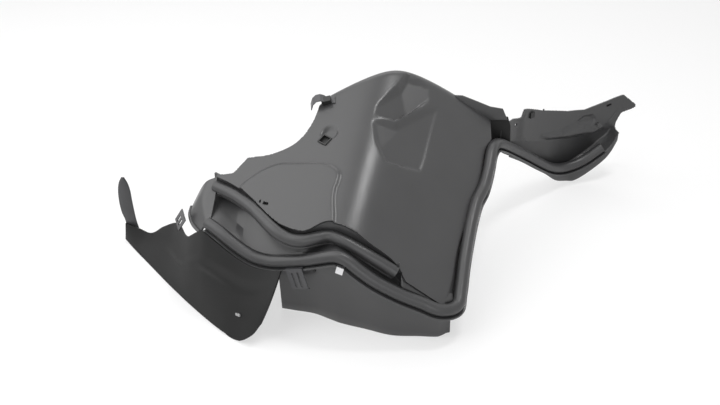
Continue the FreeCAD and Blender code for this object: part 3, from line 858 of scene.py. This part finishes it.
# soft flap: a sheet between its foot on the floor and its top behind the seal, and a standing tongue
flap = {
    "foot": [(-341, 3, 0), (-326, -18, 0), (-293, -61, 0), (-261, -103, 0), (-226, -144, 0), (-193, -180, 0),
             (-176, -194, 0), (-158, -201, 14), (-147, -198, 27)],
    "top": [(-337, 0, 28), (-320, -6, 24), (-302, -14, 22), (-283, -24, 38), (-261, -43, 56), (-240, -92, 70),
            (-217.3, -116.2, 93.3), (-202.9, -128.7, 90.1), (-188.6, -138.9, 83.9), (-173.9, -147.3, 77.2),
            (-158.4, -154.9, 72.4), (-141.4, -161.0, 71.8), (-125.5, -166.9, 75.9)],
    "sheet": 2.4,
    "rimAngle": 60,
    "proud": 1.12,
    "clearance": 1.3,
    "across": 90,
    "down": 40,
    "outward": (-0.775, -0.632, 0),
    "ripple": 1.0,
    "rippleScale": 0.02,
    "bulge": 4.6,
    "bulgeWay": (0.1, -1, 0.1),
    "bulgeFrom": 0.72,
    "bulgeRun": 0.28,
    "curl": 5.0,
    "curlAt": 0.3,
    "curlHalf": 0.28,
    "curlFrom": 0.6,
    "curlRun": 0.4,
    "fold": 3.0,
    "foldAt": 0.52,
    "foldSlope": 0.35,
    "foldHalf": 0.12,
    "foldFrom": 0.25,
    "foldRun": 0.2,
}
tongue = {
    "left": [(-341.5, 1.6, 3), (-339, 1.6, 16), (-338, 1.6, 30), (-341, 1.4, 44), (-342, 1.2, 60), (-341, 0.8, 76),
             (-338, 0.4, 88), (-333.5, 0, 95.2)],
    "right": [(-321, 1.6, 3), (-322.5, 1.6, 16), (-324.5, 1.6, 30), (-325.4, 1.4, 44), (-326, 1.2, 60),
              (-326.4, 0.8, 76), (-328.5, 0.4, 88), (-332, 0, 95.2)],
    "sheet": 2.2,
    "rim": 0.8,
    "across": 8,
    "belly": 1.4,
    "bellyFull": 60,
}
flapMark = {
    "place": (-175.1, -182.7, 27.1),
    "along": (50, -50, 18),
    "outward": (-0.66, -0.72, 0.2),
    "size": (7, 2.8, 1.6),
}


def spread(points, count):
    # evenly spaced places along a smooth line
    line = curveThrough(points, 12)
    lengths = [0.0]
    for first, second in zip(line, line[1:]):
        lengths.append(lengths[-1] + (second - first).length)
    found = []
    k = 0
    for step in range(count + 1):
        target = lengths[-1] * step / count
        while k < len(line) - 2 and lengths[k + 1] < target:
            k += 1
        share = (target - lengths[k]) / (lengths[k + 1] - lengths[k])
        found.append(line[k] + (line[k + 1] - line[k]) * share)
    return found


def flapSpot(foot, top, along, share):
    # a place of the sheet: along runs from its left end to its right, share from its foot to its top
    spot = foot + (top - foot) * share
    middle = math.sin(math.pi * share)
    right = ramp((along - flap["bulgeFrom"]) / flap["bulgeRun"])
    left = 1 - ramp(abs(along - flap["curlAt"]) / flap["curlHalf"])
    bend = noise.noise(spot * flap["rippleScale"]) * flap["ripple"] * middle
    bend += flap["curl"] * left * ramp((share - flap["curlFrom"]) / flap["curlRun"]) * (1 - share)
    crease = flap["foldAt"] + flap["foldSlope"] * (along - flap["curlAt"])
    reach = ramp((along - flap["foldFrom"]) / flap["foldRun"]) * (1 - right)
    bend += flap["fold"] * ramp(1 - abs(share - crease) / flap["foldHalf"]) * reach
    spot = spot + Vector(flap["outward"]) * (flap["proud"] + bend)
    spot += Vector(flap["bulgeWay"]) * flap["bulge"] * right * middle
    spot.z = max(spot.z, flap["clearance"])
    return spot


def makeFlap():
    verts, faces = [], []
    low = spread(flap["foot"], flap["across"])
    high = spread(flap["top"], flap["across"])
    rows = flap["down"] + 1
    for i, (foot, top) in enumerate(zip(low, high)):
        for j in range(rows):
            verts.append(place(*flapSpot(foot, top, i / flap["across"], j / flap["down"])))
    for i in range(flap["across"]):
        for j in range(flap["down"]):
            a = i * rows + j
            faces.append((a, a + rows, a + rows + 1, a + 1))
    piece = newObject("flapSheet", meshOf("flapSheet", verts, faces))
    thicken(piece, flap["sheet"], 0, rimAngle=flap["rimAngle"])
    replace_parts(piece, "splash_flap")
    return piece


def makeTongue():
    # a leaf that bends forward towards its tip
    shell = bmesh.new()
    across = tongue["across"]
    lines = []
    for first, second in zip(curveThrough(tongue["left"], 5), curveThrough(tongue["right"], 5)):
        line = []
        for k in range(across + 1):
            share = k / across
            spot = first + (second - first) * share
            spot.y -= tongue["belly"] * math.sin(math.pi * share) * ramp(spot.z / tongue["bellyFull"])
            line.append(shell.verts.new(place(*spot)))
        lines.append(line)
    for low, high in zip(lines, lines[1:]):
        for k in range(across):
            shell.faces.new((low[k], low[k + 1], high[k + 1], high[k]))
    bmesh.ops.remove_doubles(shell, verts=shell.verts, dist=walls["weld"])
    bmesh.ops.recalc_face_normals(shell, faces=shell.faces)
    piece = newObject("flapTongue", meshFrom(shell, "flapTongue"))
    return thicken(piece, tongue["sheet"], 0, tongue["rim"])


def makeFlapMark():
    # small light bar moulded on the flap near its right end
    along = Vector(flapMark["along"]).normalized()
    outward = Vector(flapMark["outward"]).normalized()
    upward = outward.cross(along).normalized()
    return slab("flapMark", Vector(flapMark["place"]), along, upward, flapMark["size"])


# node trees


def addNode(tree, kind, constants=None, **settings):
    node = tree.nodes.new(kind)
    for name, value in settings.items():
        setattr(node, name, value)
    for socket, value in (constants or {}).items():
        node.inputs[socket].default_value = value
    return node


def linker(tree):
    def link(source, output, target, socket):
        tree.links.new(source.outputs[output], target.inputs[socket])
    return link


def addInputs(tree, values):
    kinds = {int: "NodeSocketInt", float: "NodeSocketFloat", tuple: "NodeSocketColor"}
    for name, value in values.items():
        socket = tree.interface.new_socket(name=name, in_out="INPUT", socket_type=kinds[type(value)])
        socket.default_value = value


def alongLineTree(name, result, values, material):
    # shared by the two sweeps: an even curve first, a material last
    tree = bpy.data.node_groups.new(name, "GeometryNodeTree")
    tree.interface.new_socket(name="Line", in_out="INPUT", socket_type="NodeSocketGeometry")
    addInputs(tree, values)
    tree.interface.new_socket(name=result, in_out="OUTPUT", socket_type="NodeSocketGeometry")
    start = addNode(tree, "NodeGroupInput")
    toCurve = addNode(tree, "GeometryNodeMeshToCurve")
    even = addNode(tree, "GeometryNodeResampleCurve", mode="LENGTH")
    real = addNode(tree, "GeometryNodeRealizeInstances")
    paint = addNode(tree, "GeometryNodeSetMaterial", {"Material": material})
    link = linker(tree)
    link(start, "Line", toCurve, 0)
    link(toCurve, 0, even, "Curve")
    link(start, "Step", even, "Length")
    link(real, 0, paint, "Geometry")
    link(paint, 0, addNode(tree, "NodeGroupOutput"), 0)
    return tree, start, even, real


# round bulb of the seals, in metres
bulb = {
    "Radius": 0.0069,
    "Step": 0.003,
    "Sides": 24,
    "Waviness": 0.00035,
}


def bulbTree(material):
    # a bulb swept along a line, slightly wavy, with closed ends
    tree, start, even, real = alongLineTree("bulbAlongLine", "Bulb", bulb, material)
    ring = addNode(tree, "GeometryNodeCurvePrimitiveCircle")
    sweep = addNode(tree, "GeometryNodeCurveToMesh", {"Fill Caps": True})
    wobble = addNode(tree, "ShaderNodeTexNoise", {"Scale": 14})
    centre = addNode(tree, "ShaderNodeVectorMath", {1: (0.5, 0.5, 0.5)}, operation="SUBTRACT")
    scale = addNode(tree, "ShaderNodeVectorMath", operation="SCALE")
    move = addNode(tree, "GeometryNodeSetPosition")
    shade = addNode(tree, "GeometryNodeSetShadeSmooth")
    link = linker(tree)
    link(start, "Radius", ring, "Radius")
    link(start, "Sides", ring, "Resolution")
    link(even, 0, sweep, "Curve")
    link(ring, 0, sweep, "Profile Curve")
    link(sweep, 0, move, "Geometry")
    link(wobble, "Color", centre, 0)
    link(centre, 0, scale, 0)
    link(start, "Waviness", scale, "Scale")
    link(scale, 0, move, "Offset")
    link(move, 0, shade, 0)
    link(shade, 0, real, 0)
    return tree


# ledge under a seal, in metres from the seal's middle
ledge = {
    "Inner": 0.0107,
    "Outer": 0.0077,
    "Top": 0.0068,
    "Thickness": 0.0022,
    "Step": 0.003,
}
upperLedge = {
    "Inner": 0.0105,
    "Outer": 0.003,
}
ledgeRim = 0.5


def ledgeTree(material):
    # a flat ledge swept along a line and kept level across
    tree, start, even, real = alongLineTree("ledgeAlongLine", "Ledge", ledge, material)
    level = addNode(tree, "GeometryNodeSetCurveNormal", mode="Z_UP")
    width = addNode(tree, "ShaderNodeMath", operation="ADD")
    offset = addNode(tree, "ShaderNodeMath", operation="SUBTRACT")
    half = addNode(tree, "ShaderNodeMath", {1: 0.5}, operation="MULTIPLY")
    thick = addNode(tree, "ShaderNodeMath", {1: 0.5}, operation="MULTIPLY_ADD")
    shift = addNode(tree, "ShaderNodeCombineXYZ")
    profile = addNode(tree, "GeometryNodeCurvePrimitiveQuadrilateral")
    moved = addNode(tree, "GeometryNodeTransform")
    sweep = addNode(tree, "GeometryNodeCurveToMesh", {"Fill Caps": True})
    link = linker(tree)
    link(even, 0, level, "Curve")
    link(start, "Inner", width, 0)
    link(start, "Outer", width, 1)
    link(start, "Outer", offset, 0)
    link(start, "Inner", offset, 1)
    link(offset, 0, half, 0)
    link(start, "Thickness", thick, 0)
    link(start, "Top", thick, 2)
    link(half, 0, shift, 0)
    link(thick, 0, shift, 1)
    link(width, 0, profile, "Width")
    link(start, "Thickness", profile, "Height")
    link(profile, 0, moved, "Geometry")
    link(shift, 0, moved, "Translation")
    link(level, 0, sweep, "Curve")
    link(moved, 0, sweep, "Profile Curve")
    link(sweep, 0, real, 0)
    return tree


def sweptAlong(name, route, tree, values=None, rim=0.0):
    # a line made solid by a tree; the values are inputs that differ from the tree's own
    spots = [place(*p) for p in curveThrough(route, 5)]
    piece = newObject(name, meshOf(name, spots, edges=[(k, k + 1) for k in range(len(spots) - 1)]))
    sweep = piece.modifiers.new("Sweep", "NODES")
    sweep.node_group = tree
    for socket, value in (values or {}).items():
        identifier = next(item.identifier for item in tree.interface.items_tree if item.name == socket)
        sweep[identifier] = value
    if rim:
        roundEdges(piece, rim, walls["rimSegments"], walls["rimAngle"])
    applied(piece)
    closedUp(piece)
    return piece


# grain and mottle, shared by the plastic and the rubber
grain = {
    "Colour": (0.15, 0.15, 0.15, 1),
    "Mottle": 0.15,
    "Mottle Scale": 30.0,
    "Grain Scale": 1800.0,
    "Roughness": 0.5,
}


def grainGroup():
    group = bpy.data.node_groups.new("mouldedGrain", "ShaderNodeTree")
    addInputs(group, grain)
    for name, kind in (("Colour", "Color"), ("Roughness", "Float"), ("Height", "Float")):
        group.interface.new_socket(name=name, in_out="OUTPUT", socket_type="NodeSocket" + kind)
    start = addNode(group, "NodeGroupInput")
    end = addNode(group, "NodeGroupOutput")
    where = addNode(group, "ShaderNodeTexCoord")
    cloud = addNode(group, "ShaderNodeTexNoise", {"Detail": 5})
    fine = addNode(group, "ShaderNodeTexNoise", {"Detail": 3})
    shift = addNode(group, "ShaderNodeMath", {1: 0.5}, operation="SUBTRACT")
    amount = addNode(group, "ShaderNodeMath", operation="MULTIPLY")
    gain = addNode(group, "ShaderNodeMath", {1: 1.0}, operation="ADD")
    tint = addNode(group, "ShaderNodeVectorMath", operation="SCALE")
    rough = addNode(group, "ShaderNodeMath", {1: 0.12}, operation="MULTIPLY_ADD")
    link = linker(group)
    link(where, "Object", cloud, "Vector")
    link(where, "Object", fine, "Vector")
    link(start, "Mottle Scale", cloud, "Scale")
    link(start, "Grain Scale", fine, "Scale")
    link(cloud, "Fac", shift, 0)
    link(shift, 0, amount, 0)
    link(start, "Mottle", amount, 1)
    link(amount, 0, gain, 0)
    link(start, "Colour", tint, 0)
    link(gain, 0, tint, "Scale")
    link(tint, 0, end, "Colour")
    link(cloud, "Fac", rough, 0)
    link(start, "Roughness", rough, 2)
    link(rough, 0, end, "Roughness")
    link(fine, "Fac", end, "Height")
    return group


# what a finish doesn't name is as in the plain one
plainFinish = {
    "mottle": 0.3,
    "scale": 60,
    "grain": 1600,
    "rough": 0.5,
    "bump": 0.00005,
    "sheen": 0.5,
    "metal": 0.0,
}
finishes = {
    "mouldedGrey": {"colour": (0.042, 0.042, 0.043), "mottle": 0.25, "scale": 22, "grain": 1500, "rough": 0.27,
                    "bump": 0.00006},
    "sealRubber": {"colour": (0.034, 0.034, 0.035), "grain": 900, "rough": 0.34, "bump": 0.00012},
    # near-black rubber of the flap, also put on the web behind the crest flange as painted shade
    "flapRubberAndShade": {"colour": (0.011, 0.011, 0.011), "mottle": 0.5, "scale": 35, "grain": 1100, "bump": 0.0001,
                   "sheen": 0.22},
    "tongueRubber": {"colour": (0.05, 0.05, 0.053), "mottle": 0.6, "scale": 50, "grain": 1100, "rough": 0.4,
                     "bump": 0.0001},
    "darkClip": {"colour": (0.05, 0.05, 0.053), "scale": 80, "rough": 0.35, "bump": 0.00004},
    "darkPlastic": {"colour": (0.012, 0.012, 0.012)},
    "lightPlastic": {"colour": (0.3, 0.3, 0.3), "mottle": 0.2, "rough": 0.4},
    "brightSteel": {"colour": (0.7, 0.7, 0.71), "mottle": 0.2, "scale": 120, "grain": 2500, "rough": 0.22,
                    "bump": 0.00003, "metal": 1.0},
}
nodeFinishes = {
    "face_insert": "darkPlastic",
    "gutter_plug": "darkPlastic",
    "skirt_stud": "darkPlastic",
    "lip_clip": "brightSteel",
    "flap_clip": "darkClip",
    "crest_clip": "darkClip",
    "corner_clip": "darkClip",
}


def newMaterial(name):
    material = bpy.data.materials.new(name)
    material.use_nodes = True
    return material, material.node_tree, material.node_tree.nodes["Principled BSDF"]


def makeFinish(name, group):
    facts = {**plainFinish, **finishes[name]}
    material, tree, shader = newMaterial(name)
    effect = addNode(tree, "ShaderNodeGroup", node_tree=group)
    effect.inputs["Colour"].default_value = facts["colour"] + (1,)
    effect.inputs["Mottle"].default_value = facts["mottle"]
    effect.inputs["Mottle Scale"].default_value = facts["scale"]
    effect.inputs["Grain Scale"].default_value = facts["grain"]
    effect.inputs["Roughness"].default_value = facts["rough"]
    shader.inputs["Specular IOR Level"].default_value = facts["sheen"]
    shader.inputs["Metallic"].default_value = facts["metal"]
    bump = addNode(tree, "ShaderNodeBump", {"Strength": 0.6, "Distance": facts["bump"]})
    link = linker(tree)
    link(effect, "Colour", shader, "Base Color")
    link(effect, "Roughness", shader, "Roughness")
    link(effect, "Height", bump, "Height")
    link(bump, "Normal", shader, "Normal")
    return material


def finishPieces(pieces, material):
    for piece in pieces:
        piece.data.materials.clear()
        piece.data.materials.append(material)


print("materials and seals")
group = grainGroup()
materials = {name: makeFinish(name, group) for name in finishes}
bulbSweep = bulbTree(materials["sealRubber"])
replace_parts(sweptAlong("edgeSeal", frontSeal + armSeal, bulbSweep), "edge_seal")
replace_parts(sweptAlong("ledgeSeal", ledgeSeal, bulbSweep), "ledge_seal")

print("flap")
flapSheet = makeFlap()
flapTongue = makeTongue()

print("moulding")
moulding = [makeFace(), makeChannel(), makeCornerStep(), makeSideStep(), makeSkirt(), makeShoulder(),
            makeArmPlate(), makeGutter()]
moulding.append(sweptAlong("shoulderRim", shoulder["rim"], bulbSweep,
                           values={"Radius": shoulder["rimRadius"], "Waviness": 0.0}))
moulding.append(makeLedgePin())
crestFlange, flangeShadeWeb = makeFlange()
moulding += makeArmPosts() + makeSlotFloors() + [crestFlange]
ledgeSweep = ledgeTree(materials["mouldedGrey"])
moulding.append(sweptAlong("longLedge", frontSeal + armSeal, ledgeSweep, rim=ledgeRim))
moulding.append(sweptAlong("upperLedge", ledgeSeal, ledgeSweep, values=upperLedge, rim=ledgeRim))

print("small pieces and finishes")
insertPieces = makeInsert()
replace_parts(insertPieces[0], "face_insert")
finishPieces(moulding, materials["mouldedGrey"])
finishPieces(insertPieces + [makeClipFoot()], materials["darkPlastic"])
# the flap is dark rubber; the web behind the crest flange gets the same near-black as painted shade of the hollow
# there
finishPieces([flangeShadeWeb, flapSheet], materials["flapRubberAndShade"])
finishPieces([makeFlapMark()], materials["lightPlastic"])
finishPieces([flapTongue], materials["tongueRubber"])
for name, finish in nodeFinishes.items():
    for holder in nodes[name].material_slots:
        holder.material = materials[finish]


# studio: a white floor and background, and four soft lights
studio = {
    "cameraPlace": (-41, -955, 655),
    "cameraPitch": 32,
    "lens": 45,
    "sensor": 36,
    "floorHalf": 6,
    "floorGrey": 0.9,
    "floorRough": 0.9,
    "floorSheen": 0.1,
    "floorGlow": 0.55,
    "ambient": 0.5,
}
softboxes = {
    "ceilingStrip": {"at": (0.33, 0.045, 1.3), "to": (0.33, 0.046, 0), "wide": 0.34, "long": 0.13, "power": 4.6},
    "frontSoftbox": {"at": (0.1, -1.7, 0.75), "to": (0, 0, 0.08), "wide": 1.3, "long": 0.7, "power": 6},
    "rimSoftbox": {"at": (0, 1.5, 1.5), "to": (0, 0, 0.15), "wide": 1.4, "long": 0.4, "power": 5},
    "keySoftbox": {"at": (-0.8, -0.1, 1.0), "to": (0, 0, 0.1), "wide": 1.5, "long": 1.5, "power": 13},
}


def rayIs(tree, kinds):
    # one for rays of these kinds, else zero
    ray = addNode(tree, "ShaderNodeLightPath")
    found = ray.outputs[kinds[0]]
    for kind in kinds[1:]:
        either = addNode(tree, "ShaderNodeMath", operation="MAXIMUM")
        tree.links.new(found, either.inputs[0])
        tree.links.new(ray.outputs[kind], either.inputs[1])
        found = either.outputs[0]
    return found


def makeFloor():
    half = studio["floorHalf"]
    ends = [(-half, -half, 0), (half, -half, 0), (half, half, 0), (-half, half, 0)]
    floor = inScene("floor", meshOf("floor", ends, [(0, 1, 2, 3)]))
    material, tree, shader = newMaterial("floorWhite")
    grey = studio["floorGrey"]
    shader.inputs["Base Color"].default_value = (grey, grey, grey, 1)
    shader.inputs["Roughness"].default_value = studio["floorRough"]
    shader.inputs["Specular IOR Level"].default_value = studio["floorSheen"]
    glow = addNode(tree, "ShaderNodeEmission", {"Strength": 1.0})
    share = addNode(tree, "ShaderNodeMath", {1: studio["floorGlow"]}, operation="MULTIPLY")
    mix = addNode(tree, "ShaderNodeMixShader")
    link = linker(tree)
    tree.links.new(rayIs(tree, ["Is Camera Ray", "Is Glossy Ray"]), share.inputs[0])
    link(share, 0, mix, 0)
    link(shader, 0, mix, 1)
    link(glow, 0, mix, 2)
    link(mix, 0, tree.nodes["Material Output"], "Surface")
    floor.data.materials.append(material)


def makeBackground():
    # white where it is seen or mirrored, dimmer as light
    world = bpy.data.worlds.new("studioWorld")
    bpy.context.scene.world = world
    world.use_nodes = True
    tree = world.node_tree
    background = tree.nodes["Background"]
    background.inputs["Color"].default_value = (1, 1, 1, 1)
    strength = addNode(tree, "ShaderNodeMapRange", {"To Min": studio["ambient"], "To Max": 1.0})
    seen = rayIs(tree, ["Is Camera Ray", "Is Transmission Ray", "Is Glossy Ray"])
    tree.links.new(seen, strength.inputs["Value"])
    linker(tree)(strength, 0, background, "Strength")


def makeLights():
    for name, facts in softboxes.items():
        lamp = bpy.data.lights.new(name, "AREA")
        lamp.shape = "RECTANGLE"
        lamp.size = facts["wide"]
        lamp.size_y = facts["long"]
        lamp.energy = facts["power"]
        box = inScene(name, lamp)
        box.location = facts["at"]
        box.rotation_euler = (Vector(facts["to"]) - Vector(facts["at"])).to_track_quat("-Z", "Y").to_euler()


def makeCamera():
    lens = bpy.data.cameras.new("studioCamera")
    lens.lens = studio["lens"]
    lens.sensor_width = studio["sensor"]
    camera = inScene("studioCamera", lens)
    camera.location = place(*studio["cameraPlace"])
    camera.rotation_euler = (math.radians(90 - studio["cameraPitch"]), 0, 0)
    bpy.context.scene.camera = camera


print("studio")
makeCamera()
makeFloor()
makeBackground()
makeLights()
bpy.context.scene.view_settings.view_transform = "Standard"
